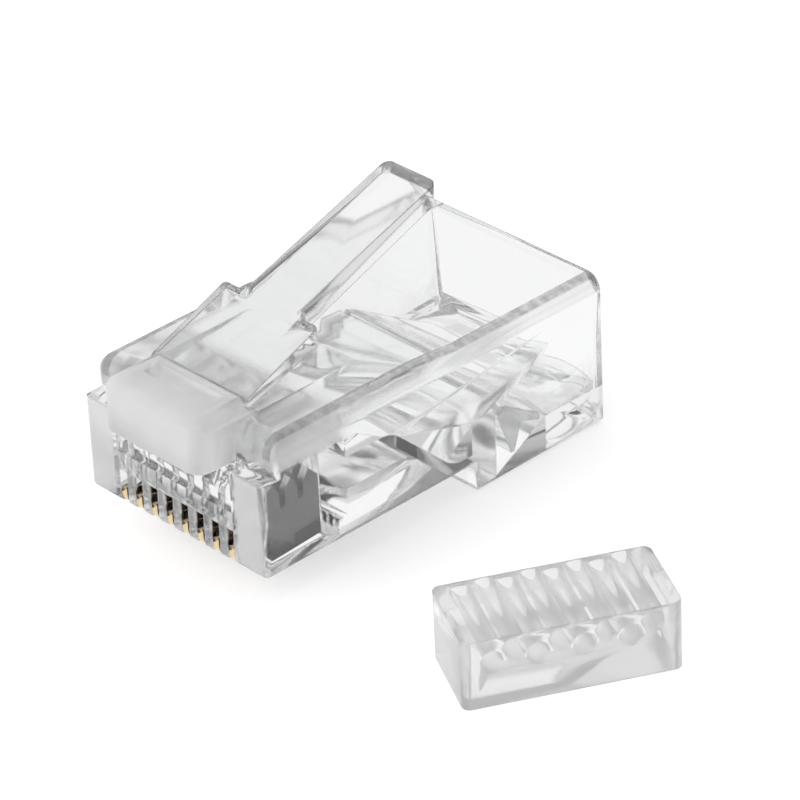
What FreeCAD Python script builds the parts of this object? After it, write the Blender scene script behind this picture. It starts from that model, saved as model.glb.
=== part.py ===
"""Modular plug for eight wires, not yet crimped, with its wire guide lying beside it.

Millimetres. X runs across the plug, Y from the contacts to the cable entry and Z up, towards the latch.
The origin is the middle of the flat land under the cable entry, which the plug rests on. Inside each body
Y starts at the comb's front face, and the body's placement brings it to the origin.
"""

import FreeCAD, Part
import os
import Sketcher

doc = FreeCAD.newDocument("modular_plug")
sheet = doc.addObject("Spreadsheet::Sheet", "Sizes")

DRIVING = {
    # how far a cutting outline runs past the face that it opens
    "overrun": 0.5,
    # housing, outside
    "width": 11.68,
    "length": 21.0,
    "front_depth": 6.6,
    "step_drop": 1.45,
    "rear_block_length": 8.05,
    "shoulder_start": 9.6,
    "shoulder_run": 2.6,
    "shoulder_drop": 0.25,
    "pillar_height": 4.75,
    "rail_setback": 0.9,
    "front_corner_radius": 0.3,
    "top_edge_radius": 0.8,
    "low_edge_radius": 0.3,
    # housing, inside
    "side_wall": 0.85,
    "roof_wall": 0.85,
    "rear_floor": 1.72,
    "comb_length": 5.3,
    "slope_run": 3.65,
    "valley_length": 1.2,
    "valley_floor": 0.3,
    "ridge_height": 2.0,
    "ridge_length": 1.45,
    "bend_radius": 1.7,
    "ridge_edge_radius": 0.15,
    "hollow_height": 2.15,
    "hollow_slope_run": 2.26,
    "hollow_setback": 1.59,
    "comb_foot_length": 4.7,
    "comb_foot_height": 0.8,
    "inner_edge_radius": 0.3,
    "ejector_radius": 0.85,
    "ejector_depth": 0.06,
    "ejector_spread": 6.6,
    "ejector_setback": 1.75,
    # nose that carries the latch
    "nose_width": 6.4,
    "nose_reach": 1.2,
    "nose_rise": 0.7,
    "nose_front_radius": 0.75,
    "nose_top_radius": 0.6,
    "nose_pocket_width": 4.2,
    "nose_pocket_length": 1.0,
    "nose_pocket_depth": 0.75,
    "nose_pocket_setback": 0.45,
    # comb, contacts and wire channels
    "pitch": 1.02,
    "ways": 8,
    "slot_width": 0.44,
    "slot_front": 0.93,
    "mouth_height": 1.75,
    "crossbar_height": 0.95,
    "brow_setback": 0.3,
    "brow_pocket_width": 1.34,
    "brow_pocket_height": 1.4,
    "brow_pocket_depth": 0.4,
    "brow_pocket_slope": 0.35,
    "rib_edge_radius": 0.12,
    "contact_thickness": 0.36,
    "contact_length": 3.15,
    "contact_recess": 0.2,
    "contact_end_gap": 0.06,
    "contact_toe_front": 0.25,
    "contact_toe_gap": 0.05,
    "contact_toe_radius": 0.4,
    "prong_depth": 1.25,
    "prong_gap": 0.34,
    "prong_shoulder": 0.55,
    "crimp_stroke": 0.9,
    "crimp_gap": 0.12,
    "slot_rise": 0.04,
    "channel_diameter": 0.95,
    # recess under the latch
    "recess_width": 6.5,
    "recess_front": 2.35,
    "recess_depth": 0.6,
    "recess_length": 5.9,
    # latch
    "hinge_setback": 2.0,
    "hinge_rise": 0.46,
    "knuckle_radius": 0.24,
    "hinge_clearance": 0.04,
    "plate_width": 6.1,
    "plate_length": 4.3,
    "plate_rise": 1.94,
    "plate_depth": 0.9,
    "lever_base_width": 3.8,
    "lever_width": 3.25,
    "lever_base_length": 1.35,
    "lever_base_rise": 0.16,
    "lever_base_front": 0.03,
    "lever_base_sink": 0.2,
    "lever_base_lip": 0.3,
    "lever_length": 8.8,
    "lever_rise": 3.08,
    "lever_root_depth": 1.3,
    "lever_tip_depth": 0.98,
    "lever_lap": 0.5,
    "lever_root_run": 0.8,
    "lever_root_rise": 0.3,
    "lever_corner_radius": 0.4,
    "shoulder_radius": 0.2,
    # cable clamp in the floor's window
    "window_length": 3.2,
    "clamp_gap": 0.1,
    "clamp_rear_gap": 0.25,
    "clamp_knuckle_radius": 0.2,
    "clamp_bend_run": 0.45,
    "clamp_bend_drop": 0.12,
    "clamp_rear_drop": 1.32,
    "clamp_rear_depth": 0.36,
    "clamp_root_depth": 0.72,
    "clamp_tooth_front": 0.12,
    "clamp_tooth_rear": 1.45,
    "clamp_tooth_rear_drop": 1.22,
    "clamp_tooth_setback": 0.88,
    "clamp_tooth_drop": 2.58,
    "clamp_tooth_tip": 0.2,
    "clamp_bend_radius": 0.5,
    # wire guide
    "guide_side_gap": 0.09,
    "guide_top_gap": 0.1,
    "guide_length": 4.6,
    "guide_edge_radius": 0.4,
    "guide_row_drop": 0.65,
    "guide_row_rise": 0.5,
    "guide_funnel": 0.08,
    "guide_across": 17.8,
    "guide_along": 5.8,
    "guide_turn_deg": 62.0,
}

for row, (alias, value) in enumerate(DRIVING.items(), start=1):
    sheet.set(f"A{row}", alias)
    sheet.set(f"B{row}", str(value))
    sheet.setAlias(f"B{row}", alias)
doc.recompute()


def by_name(expression):
    """The expression with each of the sheet's names led by the sheet's own."""
    words = []
    word = ""
    for letter in expression + " ":
        if letter.isalnum() or letter == "_":
            word += letter
            continue
        words.append(f"Sizes.{word}" if word in DRIVING else word)
        words.append(letter)
        word = ""
    return "".join(words).strip()


def size(expression):
    """The number that an expression of sheet names comes to."""
    return float(sheet.evalExpression(by_name(expression)))


# Places that several pieces share, written as sums of the driving sizes. Heights are above the rest plane.
FRONT_TOP = "(step_drop + front_depth)"
REAR_TOP = "(step_drop + front_depth - shoulder_drop)"
STEP = "(length - rear_block_length)"
PILLAR_TOP = "(step_drop + pillar_height)"
NOSE_TOP = "(step_drop + front_depth + nose_rise)"
RIDGE_TOP = "(step_drop + ridge_height)"
INNER_WIDTH = "(width - 2 * side_wall)"
HINGE_HEIGHT = "(step_drop + front_depth + hinge_rise)"
CONTACT_FRONT = "(slot_front + contact_end_gap)"
SLOT_LENGTH = "(contact_length + 2 * contact_end_gap)"
ROOF = "(step_drop + front_depth - shoulder_drop - roof_wall)"
WINDOW_START = f"({STEP} + ridge_length)"
WINDOW_END = f"({STEP} + ridge_length + window_length)"
REST_CENTRE = f"(({WINDOW_END} + length) / 2)"
CLAMP_HINGE = f"({WINDOW_START} + clamp_gap + clamp_knuckle_radius)"
CLAMP_HINGE_HEIGHT = f"({RIDGE_TOP} - clamp_knuckle_radius)"
GUIDE_HEIGHT = f"({ROOF} - {RIDGE_TOP} - guide_top_gap)"
HIGH_ROW = f"({ROOF} - guide_top_gap - guide_row_drop)"
LOW_ROW = f"({HIGH_ROW} - guide_row_rise)"
ENTRY_FLOOR = f"({LOW_ROW} - channel_diameter / 2)"
SLOT_TOP = f"({HIGH_ROW} + slot_rise)"
CONTACT_TIP = f"({SLOT_TOP} - crimp_gap - crimp_stroke)"
SLOPE_END = f"({STEP} - valley_length)"
SLOPE_START = f"({SLOPE_END} - slope_run)"
HOLLOW_END = f"({STEP} - hollow_setback)"
HOLLOW_SLOPE_START = f"({HOLLOW_END} - hollow_slope_run)"
FIRST_WAY = "(-(ways - 1) / 2 * pitch)"


def origin_feature(body, role):
    return next(item for item in body.Origin.OriginFeatures if item.Role == role)


def new_body(name):
    """A body that its placement brings from the comb's front face to the origin."""
    body = doc.addObject("PartDesign::Body", name)
    body.Label = name
    body.setExpression("Placement.Base.y", by_name(f"-{REST_CENTRE}"))
    return body


def new_sketch(body, name, role, offset=None):
    sketch = body.newObject("Sketcher::SketchObject", name)
    sketch.AttachmentSupport = [(origin_feature(body, role), "")]
    sketch.MapMode = "FlatFace"
    if offset:
        sketch.setExpression("AttachmentOffset.Base.z", by_name(offset))
    return sketch


def hold_point(sketch, geometry, point, across, up):
    """Holds a point of the sketch at two expressions, measured from its origin."""
    for kind, expression in (("DistanceX", across), ("DistanceY", up)):
        value = size(expression)
        index = sketch.addConstraint(Sketcher.Constraint(kind, -1, 1, geometry, point, value))
        sketch.setExpression(f"Constraints[{index}]", by_name(expression))


def outline(body, name, role, corners, offset=None):
    """A closed outline of straight lines, with every corner held by the sheet."""
    sketch = new_sketch(body, name, role, offset)
    points = [FreeCAD.Vector(size(across), size(up), 0) for across, up in corners]
    for index, point in enumerate(points):
        sketch.addGeometry(Part.LineSegment(point, points[(index + 1) % len(points)]), False)
    for index in range(len(points)):
        sketch.addConstraint(Sketcher.Constraint("Coincident", index, 2, (index + 1) % len(points), 1))
    for index, (across, up) in enumerate(corners):
        hold_point(sketch, index, 1, across, up)
    return sketch


def circles(body, name, role, places, diameter, offset=None):
    """Circles of one diameter, each centre held by the sheet."""
    sketch = new_sketch(body, name, role, offset)
    for index, (across, up) in enumerate(places):
        centre = FreeCAD.Vector(size(across), size(up), 0)
        circle = Part.Circle(centre, FreeCAD.Vector(0, 0, 1), size(diameter) / 2)
        sketch.addGeometry(circle, False)
        hold_point(sketch, index, 3, across, up)
        radius = sketch.addConstraint(Sketcher.Constraint("Radius", index, size(diameter) / 2))
        sketch.setExpression(f"Constraints[{radius}]", by_name(f"({diameter}) / 2"))
    return sketch


def rectangle(low_across, low_up, high_across, high_up):
    return [(low_across, low_up), (high_across, low_up), (high_across, high_up), (low_across, high_up)]


def feature(body, kind, name, sketch, length, side="Symmetric", reversed_way=False):
    """A Pad or Pocket of the sketch, its length held by the sheet. A pocket has to take something away."""
    before = body.Shape.Volume if kind == "Pocket" else 0.0
    item = body.newObject(f"PartDesign::{kind}", name)
    item.Profile = sketch
    item.SideType = side
    item.Reversed = reversed_way
    item.setExpression("Length", by_name(length))
    doc.recompute()
    if kind == "Pocket" and not body.Shape.Volume < before:
        raise RuntimeError(f"{name} cuts nothing")
    return item


def row_of(body, name, item, spacing, copies):
    """Copies of a feature along X, spaced by the sheet."""
    pattern = body.newObject("PartDesign::LinearPattern", name)
    pattern.Originals = [item]
    pattern.Direction = (origin_feature(body, "X_Axis"), [""])
    pattern.setExpression("Length", by_name(f"({spacing}) * (({copies}) - 1)"))
    pattern.setExpression("Occurrences", by_name(copies))
    body.Tip = pattern
    doc.recompute()
    return pattern


def edges_where(shape, test):
    """Names of the edges whose box passes the test."""
    return [f"Edge{index}" for index, edge in enumerate(shape.Edges, start=1) if test(edge.BoundBox)]


def near(first, second, slack=0.02):
    return abs(first - second) < slack


def round_edges(body, name, test, radius):
    """Rounds the body's edges that pass the test."""
    base = body.Tip
    names = edges_where(base.Shape, test)
    if not names:
        raise RuntimeError(f"{name} finds no edge")
    fillet = body.newObject("PartDesign::Fillet", name)
    fillet.Base = (base, names)
    fillet.setExpression("Radius", by_name(radius))
    body.Tip = fillet
    doc.recompute()
    return fillet


def make_housing():
    """Clear moulded shell: comb at the front, sloping floor over a hollow, rectangular sleeve at the rear."""
    body = new_body("housing")
    side = outline(body, "housing_side", "YZ_Plane", [
        ("0", "step_drop"),
        (STEP, "step_drop"),
        (STEP, "0"),
        ("length", "0"),
        ("length", REAR_TOP),
        ("shoulder_start + shoulder_run", REAR_TOP),
        ("shoulder_start", FRONT_TOP),
        ("rail_setback", FRONT_TOP),
        ("rail_setback", PILLAR_TOP),
        ("0", PILLAR_TOP),
    ])
    feature(body, "Pad", "housing_block", side, "width")

    half = size("width") / 2
    rail = size("rail_setback")
    floor = size("step_drop")

    def front_upright(box):
        return near(abs(box.XMin), half) and box.ZLength > 1 and box.YLength < 0.01 and box.YMax < rail + 0.1

    def side_edge(box):
        return near(abs(box.XMin), half) and box.XLength < 0.01 and box.YLength > 1

    def top_side(box):
        return side_edge(box) and box.ZMin > size(REAR_TOP) - 0.1

    def low_side(box):
        return side_edge(box) and box.ZMax < floor + 0.1

    # Edges are looked up in the body's own frame, where Y starts at the comb's front face.
    round_edges(body, "front_corners", front_upright, "front_corner_radius")
    round_edges(body, "top_sides", top_side, "top_edge_radius")
    round_edges(body, "low_sides", low_side, "low_edge_radius")

    cavity = outline(body, "cavity_side", "YZ_Plane", [
        ("comb_length", ENTRY_FLOOR),
        (SLOPE_START, ENTRY_FLOOR),
        (SLOPE_END, "step_drop + valley_floor"),
        (STEP, "step_drop + valley_floor"),
        (STEP, RIDGE_TOP),
        (WINDOW_START, RIDGE_TOP),
        (WINDOW_START, "rear_floor"),
        ("length + overrun", "rear_floor"),
        ("length + overrun", ROOF),
        ("comb_length", ROOF),
    ])
    feature(body, "Pocket", "cavity", cavity, INNER_WIDTH)
    inner = size(INNER_WIDTH)

    def bend_at(along, height):
        """Test for the edge across the body at one place of the side view."""
        def test(box):
            across = box.XLength > inner / 2 and box.YLength < 0.01 and box.ZLength < 0.01
            return across and near(box.YMin, size(along)) and near(box.ZMin, size(height))
        return test

    round_edges(body, "slope_top_bend", bend_at(SLOPE_START, ENTRY_FLOOR), "bend_radius")
    round_edges(body, "slope_foot_bend", bend_at(SLOPE_END, "step_drop + valley_floor"), "bend_radius")
    round_edges(body, "ridge_front_edge", bend_at(STEP, RIDGE_TOP), "ridge_edge_radius")

    def cavity_roof_edge(box):
        lengthways = box.XLength < 0.01 and box.YLength > inner / 2
        return lengthways and near(abs(box.XMin), inner / 2) and near(box.ZMin, size(ROOF))

    round_edges(body, "cavity_roof_edges", cavity_roof_edge, "inner_edge_radius")

    window = outline(body, "window_plan", "XY_Plane", rectangle(
        f"-{INNER_WIDTH} / 2", WINDOW_START, f"{INNER_WIDTH} / 2", WINDOW_END))
    feature(body, "Pocket", "window", window, "rear_floor + overrun", "One side", True)

    hollow = outline(body, "hollow_side", "YZ_Plane", [
        ("comb_foot_length", "step_drop - overrun"),
        (HOLLOW_END, "step_drop - overrun"),
        (HOLLOW_END, "step_drop"),
        (HOLLOW_SLOPE_START, "step_drop + hollow_height"),
        ("comb_length", "step_drop + hollow_height"),
        ("comb_length", "step_drop + comb_foot_height"),
        ("comb_foot_length", "step_drop + comb_foot_height"),
    ])
    feature(body, "Pocket", "hollow", hollow, INNER_WIDTH)
    round_edges(body, "hollow_bend", bend_at(HOLLOW_SLOPE_START, "step_drop + hollow_height"), "bend_radius")

    marks = circles(body, "ejector_places", "XY_Plane", [
        ("-ejector_spread / 2", "length - ejector_setback"),
        ("ejector_spread / 2", "length - ejector_setback"),
    ], "ejector_radius * 2", "rear_floor")
    feature(body, "Pocket", "ejector_marks", marks, "ejector_depth", "One side")

    recess = outline(body, "recess_side", "YZ_Plane", [
        ("recess_front", f"{FRONT_TOP} - recess_depth"),
        ("recess_front + recess_length", FRONT_TOP),
        ("recess_front + recess_length", f"{FRONT_TOP} + overrun"),
        ("recess_front", f"{FRONT_TOP} + overrun"),
    ])
    feature(body, "Pocket", "latch_recess", recess, "recess_width")

    add_nose(body)
    add_comb(body)
    return body


def add_nose(body):
    """Rounded block that stands out of the comb's face and carries the latch's root."""
    nose = outline(body, "nose_side", "YZ_Plane", [
        ("-nose_reach", PILLAR_TOP),
        ("hinge_setback", PILLAR_TOP),
        ("hinge_setback", NOSE_TOP),
        ("-nose_reach", NOSE_TOP),
    ])
    feature(body, "Pad", "nose", nose, "nose_width")
    reach = -size("nose_reach")
    top = size(NOSE_TOP)

    def nose_upright(box):
        return near(box.YMin, reach) and near(box.YMax, reach) and box.ZLength > 1

    def nose_brow(box):
        return near(box.ZMin, top) and near(box.ZMax, top) and box.YMax < size("hinge_setback") - 0.01

    round_edges(body, "nose_corners", nose_upright, "nose_front_radius")
    round_edges(body, "nose_brow", nose_brow, "nose_top_radius")

    pocket = outline(body, "nose_pocket_plan", "XY_Plane", rectangle(
        "-nose_pocket_width / 2", "nose_pocket_setback",
        "nose_pocket_width / 2", "nose_pocket_setback + nose_pocket_length"), NOSE_TOP)
    feature(body, "Pocket", "nose_pocket", pocket, "nose_pocket_depth", "One side")

    seat = circles(body, "hinge_seat_circle", "YZ_Plane", [("hinge_setback", HINGE_HEIGHT)],
                   "2 * (knuckle_radius + hinge_clearance)")
    feature(body, "Pocket", "hinge_seat", seat, "nose_width + overrun")


def add_comb(body):
    """Slots for the contacts, the crossbar in front of them and the channels that the wires run in."""
    slot = outline(body, "slot_side", "YZ_Plane", [
        ("-overrun", "step_drop - overrun"),
        (f"slot_front + {SLOT_LENGTH}", "step_drop - overrun"),
        (f"slot_front + {SLOT_LENGTH}", SLOT_TOP),
        ("slot_front", SLOT_TOP),
        ("slot_front", "step_drop + mouth_height"),
        ("-overrun", "step_drop + mouth_height"),
    ], FIRST_WAY)
    cut = feature(body, "Pocket", "contact_slot", slot, "slot_width")
    row_of(body, "contact_slots", cut, "pitch", "ways")

    comb_edge = "((ways - 1) / 2 * pitch + slot_width / 2)"
    brow = outline(body, "brow_side", "YZ_Plane", [
        ("-overrun", "step_drop + mouth_height + crossbar_height"),
        ("brow_setback", "step_drop + mouth_height + crossbar_height"),
        ("brow_setback", PILLAR_TOP),
        ("-overrun", PILLAR_TOP),
    ])
    feature(body, "Pocket", "brow", brow, f"2 * {comb_edge}")

    pocket_low = f"({PILLAR_TOP} - brow_pocket_height)"
    pocket = outline(body, "brow_pocket_side", "YZ_Plane", [
        ("brow_setback", pocket_low),
        ("brow_setback + brow_pocket_depth", f"{pocket_low} + brow_pocket_slope"),
        ("brow_setback + brow_pocket_depth", PILLAR_TOP),
        ("brow_setback", PILLAR_TOP),
    ], "-(ways / 2 - 1) * pitch")
    cut = feature(body, "Pocket", "brow_pocket", pocket, "brow_pocket_width")
    row_of(body, "brow_pockets", cut, "2 * pitch", "ways / 2")

    for name, across, height in (("low", FIRST_WAY, LOW_ROW), ("high", f"{FIRST_WAY} + pitch", HIGH_ROW)):
        end = "-comb_length - overrun"
        hole = circles(body, f"{name}_channel_end", "XZ_Plane", [(across, height)], "channel_diameter", end)
        reach = "comb_length + overrun - slot_front"
        cut = feature(body, "Pocket", f"{name}_channel", hole, reach, "One side", True)
        row_of(body, f"{name}_channels", cut, "2 * pitch", "ways / 2")

    inside = size(f"{comb_edge} - slot_width / 2")
    mouth_top = size("step_drop + mouth_height")

    def rib_upright(box):
        upright = near(box.YMax, 0) and box.XLength < 0.01 and box.ZLength > 0.5
        return upright and abs(box.XMin) < inside and near(box.ZMax, mouth_top)

    round_edges(body, "rib_uprights", rib_upright, "rib_edge_radius")


def make_latch():
    """Springy latch: a plate with locking shoulders, then a narrower lever to press."""
    body = new_body("latch")
    hinge = "hinge_setback"
    shoulder = "(hinge_setback + plate_length)"
    shoulder_top = f"({HINGE_HEIGHT} + plate_rise)"
    knuckle = circles(body, "knuckle_circle", "YZ_Plane", [(hinge, HINGE_HEIGHT)], "2 * knuckle_radius")
    feature(body, "Pad", "knuckle", knuckle, "plate_width")

    plate = outline(body, "plate_side", "YZ_Plane", [
        (hinge, f"{HINGE_HEIGHT} - knuckle_radius"),
        (shoulder, f"{shoulder_top} - plate_depth"),
        (shoulder, shoulder_top),
        (hinge, f"{HINGE_HEIGHT} + knuckle_radius"),
    ])
    feature(body, "Pad", "plate", plate, "plate_width")

    base_front = f"({shoulder} - lever_base_length)"
    base_top = f"({shoulder_top} + lever_base_rise)"
    on_plate = f"({shoulder_top} - lever_base_length * (plate_rise - knuckle_radius) / plate_length)"
    base = outline(body, "lever_base_side", "YZ_Plane", [
        (base_front, f"{on_plate} - lever_base_sink"),
        (f"{shoulder} + lever_base_lip", f"{shoulder_top} - plate_depth / 2"),
        (f"{shoulder} + lever_base_lip", base_top),
        (base_front, f"{on_plate} + lever_base_front"),
    ])
    feature(body, "Pad", "lever_base", base, "lever_base_width")

    lever = outline(body, "lever_side", "YZ_Plane", [
        (f"{shoulder} - lever_lap", f"{shoulder_top} - plate_depth"),
        (f"{shoulder} + lever_root_run", f"{base_top} + lever_root_rise - lever_root_depth"),
        (f"{shoulder} + lever_length", f"{shoulder_top} + lever_rise - lever_tip_depth"),
        (f"{shoulder} + lever_length", f"{shoulder_top} + lever_rise"),
        (shoulder, base_top),
        (f"{shoulder} - lever_lap", f"{shoulder_top} - plate_depth / 2"),
    ])
    feature(body, "Pad", "lever", lever, "lever_width")
    tip = size(f"{shoulder} + lever_length")
    half = size("lever_width") / 2

    def lever_corner(box):
        at_tip = near(box.YMin, tip) and near(box.YMax, tip)
        return at_tip and near(abs(box.XMin), half) and box.ZLength > 0.5

    round_edges(body, "lever_corners", lever_corner, "lever_corner_radius")

    def shoulder_corner(box):
        upright = box.ZLength > 0.5 and box.YLength < 0.01 and near(box.YMin, size(shoulder))
        return upright and near(abs(box.XMin), size("plate_width") / 2)

    round_edges(body, "shoulder_corners", shoulder_corner, "shoulder_radius")
    return body


def make_contact(number):
    """Gold-plated blade: a rounded toe for the socket's wire and three prongs that pierce the conductor."""
    body = new_body(f"contact_{number}")
    body.setExpression("Placement.Base.x", by_name(f"{FIRST_WAY} + ({number} - 1) * pitch"))
    low = "(step_drop + contact_recess)"
    gap_centre = [f"({CONTACT_FRONT} + contact_length * {share} / 3)" for share in (1, 2)]
    gap_floor = f"({CONTACT_TIP} - prong_depth)"
    prong_side = f"({CONTACT_TIP} - prong_shoulder)"
    toe_top = "(step_drop + mouth_height - crimp_stroke - contact_toe_gap)"
    middle = [f"({CONTACT_FRONT} + contact_length * {share} / 6)" for share in (1, 3, 5)]
    corners = [
        ("contact_toe_front", low),
        (f"{CONTACT_FRONT} + contact_length", low),
        (f"{CONTACT_FRONT} + contact_length", prong_side),
        (middle[2], CONTACT_TIP),
        (f"{gap_centre[1]} + prong_gap / 2", prong_side),
        (f"{gap_centre[1]} + prong_gap / 2", gap_floor),
        (f"{gap_centre[1]} - prong_gap / 2", gap_floor),
        (f"{gap_centre[1]} - prong_gap / 2", prong_side),
        (middle[1], CONTACT_TIP),
        (f"{gap_centre[0]} + prong_gap / 2", prong_side),
        (f"{gap_centre[0]} + prong_gap / 2", gap_floor),
        (f"{gap_centre[0]} - prong_gap / 2", gap_floor),
        (f"{gap_centre[0]} - prong_gap / 2", prong_side),
        (middle[0], CONTACT_TIP),
        (CONTACT_FRONT, prong_side),
        (CONTACT_FRONT, toe_top),
        ("contact_toe_front", toe_top),
    ]
    side = outline(body, f"contact_{number}_side", "YZ_Plane", corners)
    feature(body, "Pad", f"contact_{number}_blade", side, "contact_thickness")

    def toe(box):
        front = near(box.YMin, size("contact_toe_front")) and near(box.YMax, size("contact_toe_front"))
        return front and box.XLength > 0.1 and near(box.ZMin, size(low)) and near(box.ZMax, size(low))

    round_edges(body, f"contact_{number}_toe", toe, "contact_toe_radius")
    return body


def make_cable_clamp():
    """Toothed flap behind the ridge that the crimping tool turns up against the cable's jacket."""
    body = new_body("cable_clamp")
    hinge = CLAMP_HINGE
    height = CLAMP_HINGE_HEIGHT
    rear = f"({WINDOW_END} - clamp_rear_gap)"
    tip = f"({hinge} + clamp_tooth_setback)"
    knuckle = circles(body, "clamp_knuckle_circle", "YZ_Plane", [(hinge, height)], "2 * clamp_knuckle_radius")
    wide = f"{INNER_WIDTH} - 2 * clamp_gap"
    feature(body, "Pad", "clamp_knuckle", knuckle, wide)
    flap = outline(body, "clamp_side", "YZ_Plane", [
        (hinge, f"{height} - clamp_knuckle_radius"),
        (f"{hinge} + clamp_tooth_front", f"{height} - clamp_root_depth"),
        (f"{tip} - clamp_tooth_tip / 2", f"{height} - clamp_tooth_drop"),
        (f"{tip} + clamp_tooth_tip / 2", f"{height} - clamp_tooth_drop"),
        (f"{hinge} + clamp_tooth_rear", f"{height} - clamp_tooth_rear_drop"),
        (rear, f"{height} - clamp_rear_drop - clamp_rear_depth"),
        (rear, f"{height} - clamp_rear_drop"),
        (f"{hinge} + clamp_bend_run", f"{height} + clamp_knuckle_radius - clamp_bend_drop"),
        (hinge, f"{height} + clamp_knuckle_radius"),
    ])
    feature(body, "Pad", "clamp_flap", flap, wide)

    def top_bend(box):
        across = box.XLength > size("pitch") and box.YLength < 0.01 and box.ZLength < 0.01
        return across and near(box.YMin, size(f"{hinge} + clamp_bend_run")) and box.ZMin > size(height)

    round_edges(body, "clamp_top_bend", top_bend, "clamp_bend_radius")
    return body


def make_wire_guide():
    """Clear block that keeps the conductors in two staggered rows. It lies beside the plug."""
    body = new_body("wire_guide")
    body.setExpression("Placement.Base.x", by_name("guide_across"))
    body.setExpression("Placement.Base.y", by_name(f"guide_along - {REST_CENTRE}"))
    body.setExpression("Placement.Rotation.Angle", by_name("guide_turn_deg"))
    wide = f"({INNER_WIDTH} - 2 * guide_side_gap)"
    plan = outline(body, "guide_plan", "XY_Plane", rectangle(
        f"-{wide} / 2", "-guide_length / 2", f"{wide} / 2", "guide_length / 2"))
    feature(body, "Pad", "guide_block", plan, GUIDE_HEIGHT, "One side")

    def upright(box):
        return box.XLength < 0.01 and box.YLength < 0.01 and box.ZLength > size(GUIDE_HEIGHT) / 2

    round_edges(body, "guide_edges", upright, "guide_edge_radius")
    for name, across, height in (
        ("low", FIRST_WAY, f"{GUIDE_HEIGHT} - guide_row_drop - guide_row_rise"),
        ("high", f"{FIRST_WAY} + pitch", f"{GUIDE_HEIGHT} - guide_row_drop"),
    ):
        hole = circles(body, f"guide_{name}_hole_end", "XZ_Plane", [(across, height)], "channel_diameter")
        cut = feature(body, "Pocket", f"guide_{name}_hole", hole, "guide_length + overrun")
        row_of(body, f"guide_{name}_holes", cut, "2 * pitch", "ways / 2")
    face = size("guide_length") / 2
    bore = size("channel_diameter")

    def mouth(box):
        rim = near(box.XLength, bore) and near(box.ZLength, bore) and box.YLength < 0.01
        return rim and near(abs(box.YMin), face)

    base = body.Tip
    funnel = body.newObject("PartDesign::Chamfer", "guide_funnels")
    funnel.Base = (base, edges_where(base.Shape, mouth))
    funnel.setExpression("Size", by_name("guide_funnel"))
    body.Tip = funnel
    doc.recompute()
    return body


pieces = [make_housing(), make_latch()]
pieces += [make_contact(number) for number in range(1, int(size("ways")) + 1)]
pieces += [make_cable_clamp(), make_wire_guide()]
doc.recompute()

for item in doc.Objects:
    if "Invalid" in item.State or "Error" in item.State:
        raise RuntimeError(f"{item.Name} failed: {item.State}")
for piece in pieces:
    if piece.Shape.isNull() or not piece.Shape.isValid() or len(piece.Shape.Solids) != 1:
        raise RuntimeError(f"{piece.Label} is not one valid solid")

os.makedirs("parts", exist_ok=True)
for piece in pieces:
    piece.Shape.exportStep(os.path.join("parts", piece.Label + ".step"))
    box = piece.Shape.BoundBox
    print(f"{piece.Label}: {piece.Shape.Volume:.2f} mm3, z {box.ZMin:.2f} to {box.ZMax:.2f}")
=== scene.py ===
import math

import bmesh
import bpy
from mathutils import Matrix, Vector


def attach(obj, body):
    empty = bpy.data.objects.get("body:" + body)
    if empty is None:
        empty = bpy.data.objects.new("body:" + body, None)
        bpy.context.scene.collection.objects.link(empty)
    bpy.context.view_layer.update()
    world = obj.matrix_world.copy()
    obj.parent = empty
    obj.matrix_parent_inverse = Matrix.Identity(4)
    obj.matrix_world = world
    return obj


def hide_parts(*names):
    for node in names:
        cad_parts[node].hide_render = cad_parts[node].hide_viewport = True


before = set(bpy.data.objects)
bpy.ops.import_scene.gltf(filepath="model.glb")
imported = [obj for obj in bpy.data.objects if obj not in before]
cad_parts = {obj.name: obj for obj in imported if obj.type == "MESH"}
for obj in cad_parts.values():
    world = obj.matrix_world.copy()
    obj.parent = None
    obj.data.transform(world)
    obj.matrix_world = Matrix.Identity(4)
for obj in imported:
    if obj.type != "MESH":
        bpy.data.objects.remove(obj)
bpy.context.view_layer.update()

# Camera: a long lens at the front right, a third of a right angle above the table, turned a little about its
# own axis. The values were fitted to the photograph, with the plug's width as the known size. Light passes
# many clear walls, so it may bounce often.
MM = 0.001
photo_side = 800
focal_pixels = 4532.9
sensor_width = 36
azimuth = math.radians(47.56)
elevation = math.radians(31.47)
roll = math.radians(-2.84)
distance = 205.2 * MM
comb_to_rest = 19.3
front_stand = 1.45
aim = Vector((1.796, 12.042 - comb_to_rest, 2.145 + front_stand)) * MM
back = Vector((
    math.sin(azimuth) * math.cos(elevation),
    -math.cos(azimuth) * math.cos(elevation),
    math.sin(elevation),
))
level = Vector((math.cos(azimuth), math.sin(azimuth), 0))
upright = back.cross(level)
right = math.cos(roll) * level + math.sin(roll) * upright
above = math.cos(roll) * upright - math.sin(roll) * level
turn = Matrix((right, above, back)).transposed().to_4x4()
lens = bpy.data.cameras.new("photo_camera")
lens.sensor_width = sensor_width
lens.lens = focal_pixels / photo_side * sensor_width
lens.clip_start = 0.01
lens.clip_end = 20
camera = bpy.data.objects.new("photo_camera", lens)
camera.matrix_world = Matrix.Translation(aim + distance * back) @ turn
scene = bpy.context.scene
scene.collection.objects.link(camera)
scene.camera = camera
scene.view_settings.view_transform = "Standard"
scene.cycles.use_denoising = True
scene.cycles.max_bounces = 28
scene.cycles.transmission_bounces = 26
scene.cycles.glossy_bounces = 20
scene.cycles.transparent_max_bounces = 24
scene.cycles.sample_clamp_indirect = 6.0

# Table: one large sheet of white paper, a hair's breadth under the plug. It glows a little towards the
# camera, so that it reads as white there and keeps the soft shadow. What the clear plastic bends or mirrors
# of it is plain white.
table_reach = 3.0
air_gap = 0.02 * MM
paper_grey = 0.8
paper_lift = 0.42
paper_seen_through_plastic = 0.98


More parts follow.
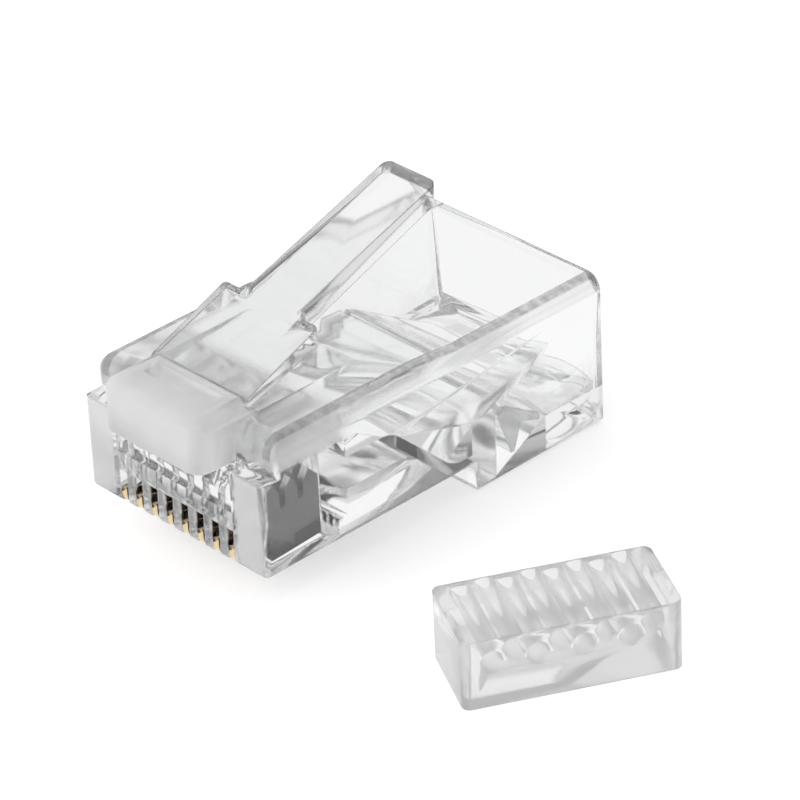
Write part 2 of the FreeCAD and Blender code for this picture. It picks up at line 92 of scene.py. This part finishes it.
def grey(level):
    """A grey of one level, as a colour socket takes it."""
    return (level, level, level, 1)


def add_node(tree, kind, plugs=None, **settings):
    """A new node with its settings, each of its inputs given a plain value or another node's output."""
    node = tree.nodes.new(kind)
    for name, value in settings.items():
        setattr(node, name, value)
    for name, value in (plugs or {}).items():
        if isinstance(value, bpy.types.NodeSocket):
            tree.links.new(value, node.inputs[name])
        else:
            node.inputs[name].default_value = value
    return node


def math_of(tree, operation, first, second=0.0):
    """One Math node on one or two values."""
    return add_node(tree, "ShaderNodeMath", {0: first, 1: second}, operation=operation).outputs[0]


def mixed_shader(tree, share, first, second):
    """Two shaders, mixed by the share of the second."""
    return add_node(tree, "ShaderNodeMixShader", {"Fac": share, 1: first, 2: second}).outputs[0]


paper = bpy.data.materials.new("white_paper")
paper.use_nodes = True
tree = paper.node_tree
tree.nodes.clear()
path = add_node(tree, "ShaderNodeLightPath")
lift = math_of(tree, "MULTIPLY", path.outputs["Is Camera Ray"], paper_lift)
through_plastic = math_of(tree, "MAXIMUM", path.outputs["Is Transmission Ray"], path.outputs["Is Glossy Ray"])
sheet = add_node(tree, "ShaderNodeBsdfDiffuse", {"Color": grey(paper_grey)})
glow = add_node(tree, "ShaderNodeEmission", {"Strength": lift})
lit = add_node(tree, "ShaderNodeAddShader", {0: sheet.outputs[0], 1: glow.outputs[0]})
white = add_node(tree, "ShaderNodeEmission", {"Strength": paper_seen_through_plastic})
seen = mixed_shader(tree, through_plastic, lit.outputs[0], white.outputs[0])
add_node(tree, "ShaderNodeOutputMaterial", {"Surface": seen})

table_mesh = bpy.data.meshes.new("white_table")
table_corners = [
    (-table_reach, -table_reach, -air_gap),
    (table_reach, -table_reach, -air_gap),
    (table_reach, table_reach, -air_gap),
    (-table_reach, table_reach, -air_gap),
]
table_mesh.from_pydata(table_corners, [], [(0, 1, 2, 3)])
table_mesh.materials.append(paper)
table = bpy.data.objects.new("white_table", table_mesh)
scene.collection.objects.link(table)

# Room: a tent of white cloth, as bright for the camera as the paper. A dark gap at the foot of its wall, a
# wide dim opening on the right and a narrower, darker one at the front left draw the edges of the clear
# moulding.
tent_white = 1.0
gap_grey = 0.03
gap_heights = (0.06, 0.22)
right_opening = Vector((0.82, 0.0, 0.572))
right_edges = (0.66, 0.8)
right_grey = 0.4
left_opening = Vector((-0.629, -0.575, 0.522))
left_edges = (0.88, 0.96)
left_grey = 0.2


def ramp(tree, value, ends, gives=(0, 1), shape="SMOOTHSTEP"):
    """What a value gives on its way from one end to the other."""
    return add_node(tree, "ShaderNodeMapRange", {
        "Value": value,
        "From Min": ends[0],
        "From Max": ends[1],
        "To Min": gives[0],
        "To Max": gives[1],
    }, interpolation_type=shape).outputs["Result"]


def mixed_value(tree, share, first, second):
    """Two values, mixed by the share of the second."""
    return add_node(tree, "ShaderNodeMix", {"Factor": share, "A": first, "B": second}).outputs["Result"]


room = bpy.data.worlds.new("white_tent")
scene.world = room
room.use_nodes = True
tree = room.node_tree
tree.nodes.clear()
outwards = add_node(tree, "ShaderNodeTexCoord").outputs["Generated"]
height = add_node(tree, "ShaderNodeSeparateXYZ", {0: outwards}).outputs["Z"]
wall = ramp(tree, height, gap_heights, (gap_grey, tent_white))
for opening, edges, level_there in (
    (right_opening, right_edges, right_grey),
    (left_opening, left_edges, left_grey),
):
    towards = add_node(tree, "ShaderNodeVectorMath", {0: outwards, 1: opening}, operation="DOT_PRODUCT")
    wall = mixed_value(tree, ramp(tree, towards.outputs["Value"], edges), wall, level_there)
path = add_node(tree, "ShaderNodeLightPath")
strength = mixed_value(tree, path.outputs["Is Camera Ray"], wall, tent_white)
backdrop = add_node(tree, "ShaderNodeBackground", {"Strength": strength})
add_node(tree, "ShaderNodeOutputWorld", {"Surface": backdrop.outputs[0]})

# Lamp: one wide soft panel at the front left, so that the matt faces are bright and the shadow falls softly
# to the right. Neither reflections nor the view through the plastic show it.
panel_side = 0.5
panel_power = 1.8
panel_place = Vector((-0.2, -0.37, 0.22))
panel = bpy.data.lights.new("soft_panel", "AREA")
panel.shape = "SQUARE"
panel.size = panel_side
panel.energy = panel_power
panel_turn = panel_place.to_track_quat("Z", "Y").to_matrix().to_4x4()
panel_object = bpy.data.objects.new("soft_panel", panel)
panel_object.matrix_world = Matrix.Translation(panel_place) @ panel_turn
panel_object.visible_glossy = False
panel_object.visible_transmission = False
scene.collection.objects.link(panel_object)

# Shell: one injection moulding of clear polycarbonate that carries the other parts of the plug. The mould is
# polished, but the nose and the fronts of the corner posts come out milky, the comb's top matt and the room
# inside a little hazy. A mottled band of painted shade, grey that light doesn't pass, runs along the roof's
# rounded edges.
weld_reach = 0.0005 * MM
sharp_angle = 35
flow_scale = 420
flow_detail = 2
flow_share = 0.98
flow_polish = (0.7, 1.3)
edge_radius = 0.12 * MM
edge_samples = 4
edge_bend = (0.99, 0.88)
plastic_index = 1.585
depth_grey = 0.5
shadow_grey = 0.92
milk_grey = 0.98
milk_onward_share = 0.5
# Grey of the painted shade on the roof's rounded edges and on the latch's left side.
painted_shade_grey = 0.2
shell_tint = (0.985, 0.988, 0.99, 1)
# Grey of the painted shade line along the shell's edges.
shell_edge_shade = 0.3
shell_polish = 0.02
shell_absorption = 14
shell_milkiness = 0.7
inside_roughness = 0.13
comb_roughness = 0.34
milky_roughness = 0.35
# Mottling of the band of painted shade along the roof's rounded edges.
mottle_scale = 2600
mottle_detail = 4
mottle_ends = (0.35, 0.65)
mottle_shares = (0.32, 0.6)
post_facing = (0.75, 0.9)
# A finish starts at the first of its two places and is full at the second. Both are mm from the plug's
# middle plane, from the middle of its rest land or above the table.
post_fronts = (-18.8, -19.0)
post_sides = (3.95, 4.2)
nose_rear = (-17.1, -17.6)
nose_low = (6.1, 6.25)
nose_sides = (3.35, 3.2)
comb_rear = (-13.2, -14.6)
comb_low = (6.3, 6.7)
inside_front = (-15.0, -14.6)
inside_rear = (-1.4, -1.8)
inside_top = (5.7, 5.5)
inside_sides = (5.1, 5.0)
# Places of the band of painted shade along the roof's rounded edges.
rim_inner = (5.02, 5.07)
rim_outer = (5.58, 5.46)
rim_low = (6.98, 7.1)


def clean_copy(name, node):
    """A copy of the CAD node's mesh with its loose triangles joined."""
    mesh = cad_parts[node].data.copy()
    mesh.name = name
    work = bmesh.new()
    work.from_mesh(mesh)
    bmesh.ops.remove_doubles(work, verts=work.verts, dist=weld_reach)
    bmesh.ops.dissolve_degenerate(work, edges=work.edges, dist=weld_reach)
    bmesh.ops.recalc_face_normals(work, faces=work.faces)
    work.to_mesh(mesh)
    work.free()
    piece = bpy.data.objects.new(name, mesh)
    scene.collection.objects.link(piece)
    return piece


def dress(piece, material):
    """Gives a piece its material and smooth shading over the rounded edges, with the flat faces kept flat."""
    for face in piece.data.polygons:
        face.use_smooth = True
    piece.data.set_sharp_from_angle(angle=math.radians(sharp_angle))
    weighted = piece.modifiers.new("flat_faces", "WEIGHTED_NORMAL")
    weighted.keep_sharp = True
    weighted.weight = 100
    evaluated = piece.evaluated_get(bpy.context.evaluated_depsgraph_get())
    finished = bpy.data.meshes.new_from_object(evaluated)
    piece.modifiers.clear()
    piece.data = finished
    piece.data.materials.clear()
    piece.data.materials.append(material)


def mixed_colour(tree, share, first, second):
    """Two colours, mixed by the share of the second."""
    plugs = {"Factor": share, "A": first, "B": second}
    return add_node(tree, "ShaderNodeMix", plugs, data_type="RGBA").outputs["Result"]


def moulded_surface():
    """Node group: faint flow marks in tint and polish, and sharp edges rounded, with painted shade in a fine
    grey line along them.
    """
    group = bpy.data.node_groups.new("moulded_surface", "ShaderNodeTree")
    for name, way, kind in (
        ("Tint", "INPUT", "NodeSocketColor"),
        ("Flow tint", "INPUT", "NodeSocketColor"),
        ("Painted edge shade", "INPUT", "NodeSocketColor"),
        ("Polish", "INPUT", "NodeSocketFloat"),
        ("Colour", "OUTPUT", "NodeSocketColor"),
        ("Roughness", "OUTPUT", "NodeSocketFloat"),
        ("Normal", "OUTPUT", "NodeSocketVector"),
    ):
        group.interface.new_socket(name, in_out=way, socket_type=kind)
    given = add_node(group, "NodeGroupInput").outputs
    where = add_node(group, "ShaderNodeTexCoord")
    marks = {"Vector": where.outputs["Object"], "Scale": flow_scale, "Detail": flow_detail}
    flow = add_node(group, "ShaderNodeTexNoise", marks).outputs["Fac"]
    tint = mixed_colour(group, flow, given["Tint"], given["Flow tint"])
    swing = ramp(group, flow, (0, 1), flow_polish, "LINEAR")
    rounded = add_node(group, "ShaderNodeBevel", {"Radius": edge_radius}, samples=edge_samples).outputs[0]
    flat = add_node(group, "ShaderNodeNewGeometry").outputs["Normal"]
    # Painted shade: where the rounded normal turns from the flat one, the colour goes to the edge grey in a
    # fine dark line.
    bend = add_node(group, "ShaderNodeVectorMath", {0: rounded, 1: flat}, operation="DOT_PRODUCT")
    edge = ramp(group, bend.outputs["Value"], edge_bend, shape="LINEAR")
    add_node(group, "NodeGroupOutput", {
        "Colour": mixed_colour(group, edge, tint, given["Painted edge shade"]),
        "Roughness": math_of(group, "MULTIPLY", given["Polish"], swing),
        "Normal": rounded,
    })
    return group


def clear_plastic(name, tint, edge_shade_level, polish):
    """A clear plastic's material, with its Principled BSDF on a moulded surface and painted shade of the
    given grey along its edges.
    """
    material = bpy.data.materials.new(name)
    material.use_nodes = True
    tree = material.node_tree
    tree.nodes.clear()
    skin = add_node(tree, "ShaderNodeGroup", {
        "Tint": tint,
        "Flow tint": (*(flow_share * part for part in tint[:3]), 1),
        "Painted edge shade": grey(edge_shade_level),
        "Polish": polish,
    }, node_tree=moulding)
    plastic = add_node(tree, "ShaderNodeBsdfPrincipled", {
        "Base Color": skin.outputs["Colour"],
        "Roughness": skin.outputs["Roughness"],
        "Normal": skin.outputs["Normal"],
        "IOR": plastic_index,
        "Transmission Weight": 1.0,
    })
    return material, plastic


def milky(tree, share, surface):
    """A surface with a share of white that scatters light back and onwards."""
    face = add_node(tree, "ShaderNodeBsdfDiffuse", {"Color": grey(milk_grey)})
    depth = add_node(tree, "ShaderNodeBsdfTranslucent", {"Color": grey(milk_grey)})
    milk = mixed_shader(tree, milk_onward_share, face.outputs[0], depth.outputs[0])
    return mixed_shader(tree, share, surface, milk)


def with_painted_shade(tree, share, surface):
    """A surface with a share of painted shade: a grey that light doesn't pass."""
    shade_sheet = add_node(tree, "ShaderNodeBsdfDiffuse", {"Color": grey(painted_shade_grey)})
    return mixed_shader(tree, share, surface, shade_sheet.outputs[0])


def close_plastic(tree, surface, absorption):
    """The material's output: its depth takes up some light, and its shadow is faint."""
    path = add_node(tree, "ShaderNodeLightPath")
    through = add_node(tree, "ShaderNodeBsdfTransparent", {"Color": grey(shadow_grey)})
    depth = add_node(tree, "ShaderNodeVolumeAbsorption", {"Color": grey(depth_grey), "Density": absorption})
    add_node(tree, "ShaderNodeOutputMaterial", {
        "Surface": mixed_shader(tree, path.outputs["Is Shadow Ray"], surface, through.outputs[0]),
        "Volume": depth.outputs[0],
    })


def by_place(tree, value, places):
    """A share that goes from none to full between two places in mm."""
    return ramp(tree, value, (places[0] * MM, places[1] * MM))


def overlap(tree, *shares):
    """The product of several shares."""
    result = shares[0]
    for share in shares[1:]:
        result = math_of(tree, "MULTIPLY", result, share)
    return result


moulding = moulded_surface()
shell_plastic, plastic = clear_plastic("clear_polycarbonate", shell_tint, shell_edge_shade, shell_polish)
tree = shell_plastic.node_tree
where = add_node(tree, "ShaderNodeTexCoord")
place = add_node(tree, "ShaderNodeSeparateXYZ", {0: where.outputs["Object"]}).outputs
facing = add_node(tree, "ShaderNodeSeparateXYZ", {0: where.outputs["Normal"]}).outputs
across = math_of(tree, "ABSOLUTE", place["X"])
posts = overlap(
    tree,
    by_place(tree, place["Y"], post_fronts),
    by_place(tree, across, post_sides),
    ramp(tree, math_of(tree, "ABSOLUTE", facing["Y"]), post_facing),
)
nose = overlap(
    tree,
    by_place(tree, place["Y"], nose_rear),
    by_place(tree, place["Z"], nose_low),
    by_place(tree, across, nose_sides),
)
comb = overlap(tree, by_place(tree, place["Y"], comb_rear), by_place(tree, place["Z"], comb_low))
inside = overlap(
    tree,
    by_place(tree, place["Y"], inside_front),
    by_place(tree, place["Y"], inside_rear),
    by_place(tree, place["Z"], inside_top),
    by_place(tree, across, inside_sides),
)
mottle = {"Vector": where.outputs["Object"], "Scale": mottle_scale, "Detail": mottle_detail}
mottling = add_node(tree, "ShaderNodeTexNoise", mottle).outputs["Fac"]
# Painted shade: a mottled grey band along the roof's rounded edges.
rim_painted_shade = overlap(
    tree,
    by_place(tree, across, rim_inner),
    by_place(tree, place["Z"], rim_low),
    ramp(tree, mottling, mottle_ends, mottle_shares, "LINEAR"),
    by_place(tree, across, rim_outer),
)
haze = math_of(tree, "MAXIMUM", posts, nose)
roughness = plastic.inputs["Roughness"].links[0].from_socket
for share, rough_there in ((inside, inside_roughness), (comb, comb_roughness), (haze, milky_roughness)):
    roughness = mixed_value(tree, share, roughness, rough_there)
tree.links.new(roughness, plastic.inputs["Roughness"])
surface = milky(tree, math_of(tree, "MULTIPLY", haze, shell_milkiness), plastic.outputs[0])
close_plastic(tree, with_painted_shade(tree, rim_painted_shade, surface), shell_absorption)

shell = clean_copy("clear_shell", "housing")
dress(shell, shell_plastic)
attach(shell, "plug")
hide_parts("housing")

# Latch: springy tongue with two locking shoulders, of the shell's clear polycarbonate and moulded in one
# with it, so it bends at its root in the nose. It is less polished than the shell, and its left side carries
# painted shade, a share of grey that light doesn't pass.
latch_tint = (0.98, 0.982, 0.984, 1)
# Grey of the painted shade line along the latch's edges.
latch_edge_shade = 0.2
latch_polish = 0.07
latch_absorption = 16
# Painted shade on the latch's left side: the facings where it starts and is full, and its share.
left_facing = (-0.8, -0.95)
left_shade_share = 0.42
latch_plastic, plastic = clear_plastic("satin_polycarbonate", latch_tint, latch_edge_shade, latch_polish)
tree = latch_plastic.node_tree
where = add_node(tree, "ShaderNodeTexCoord")
facing = add_node(tree, "ShaderNodeSeparateXYZ", {0: where.outputs["Normal"]}).outputs
# Painted shade: the faces that face left turn part grey.
left_side_painted_shade = ramp(tree, facing["X"], left_facing, (0, left_shade_share), "LINEAR")
close_plastic(tree, with_painted_shade(tree, left_side_painted_shade, plastic.outputs[0]), latch_absorption)
latch = clean_copy("springy_latch", "latch")
dress(latch, latch_plastic)
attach(latch, "latch_body")
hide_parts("latch")

# Cable clamp: toothed flap in the window of the shell's floor, of the same clear polycarbonate. It is
# moulded in one with the ridge in front of it and turns up on a living hinge when the plug is crimped.
clamp = clean_copy("cable_clamp_flap", "cable_clamp")
dress(clamp, shell_plastic)
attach(clamp, "clamp_body")
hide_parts("cable_clamp")

# Wire guide: loose block with eight staggered holes that carries the wires into the comb. It is moulded on
# its own, in a polycarbonate that is a little milkier than the plug's.
guide_tint = (0.995, 0.995, 0.995, 1)
# Grey of the painted shade line along the wire guide's edges.
guide_edge_shade = 0.45
guide_polish = 0.12
guide_absorption = 3
guide_milkiness = 0.2
guide_plastic, plastic = clear_plastic("milky_polycarbonate", guide_tint, guide_edge_shade, guide_polish)
tree = guide_plastic.node_tree
close_plastic(tree, milky(tree, guide_milkiness, plastic.outputs[0]), guide_absorption)
guide = clean_copy("wire_guide_block", "wire_guide")
dress(guide, guide_plastic)
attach(guide, "plug")
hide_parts("wire_guide")

# Contacts: eight blades stamped from sheet copper alloy, nickel plated all over and gold plated on the
# rounded toe that meets the socket. Their flat sides carry a painted dark reflection, far darker than nickel,
# and their stamped edges a lighter grey as a painted highlight. They are pushed into the comb's slots, and
# crimping drives their prongs into the wires.
blade_count = 8
gold = (0.88, 0.66, 0.36, 1)
# Flat sides painted dark as a reflection; stamped edges painted lighter as a highlight.
nickel_painted_dark = (0.12, 0.12, 0.125, 1)
edge_painted_highlight = (0.66, 0.66, 0.67, 1)
grain_scale = 5000
grain_roughness = (0.12, 0.34)
edge_facing = (0.7, 0.4)
gold_rear = (-17.9, -18.2)
gold_top = (2.9, 2.4)
metal = bpy.data.materials.new("gold_edge_on_nickel")
metal.use_nodes = True
tree = metal.node_tree
where = add_node(tree, "ShaderNodeTexCoord")
place = add_node(tree, "ShaderNodeSeparateXYZ", {0: where.outputs["Object"]}).outputs
facing = add_node(tree, "ShaderNodeSeparateXYZ", {0: where.outputs["Normal"]}).outputs
stamped_edge = ramp(tree, math_of(tree, "ABSOLUTE", facing["X"]), edge_facing)
plating = overlap(
    tree,
    by_place(tree, place["Y"], gold_rear),
    by_place(tree, place["Z"], gold_top),
    stamped_edge,
)
grain = add_node(tree, "ShaderNodeTexNoise", {"Vector": where.outputs["Object"], "Scale": grain_scale})
# Painted reflection and highlight: dark flat sides, lighter stamped edges, gold on the toe's edges.
colour = mixed_colour(tree, plating, mixed_colour(tree, stamped_edge, nickel_painted_dark, edge_painted_highlight), gold)
roughness = ramp(tree, grain.outputs["Fac"], (0, 1), grain_roughness, "LINEAR")
plated = tree.nodes["Principled BSDF"]
plated.inputs["Metallic"].default_value = 1.0
tree.links.new(colour, plated.inputs["Base Color"])
tree.links.new(roughness, plated.inputs["Roughness"])

# The solids' toes are drawn forward and down a little here, so that the gold edges stand nearly flush.
toe_back = -18.62 * MM
toe_front = -19.05 * MM
toe_top = 2.25 * MM
plated_front = -19.27 * MM
toe_squeeze = 0.6
toe_drop = 0.25
for number in range(1, blade_count + 1):
    blade = clean_copy(f"plated_blade_{number}", f"contact_{number}")
    for corner in blade.data.vertices:
        if corner.co.y < toe_back:
            corner.co.y = plated_front + toe_squeeze * (corner.co.y - toe_front)
            corner.co.z -= toe_drop * max(0, toe_top - corner.co.z)
    dress(blade, metal)
    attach(blade, f"blade_{number}")
    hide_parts(f"contact_{number}")
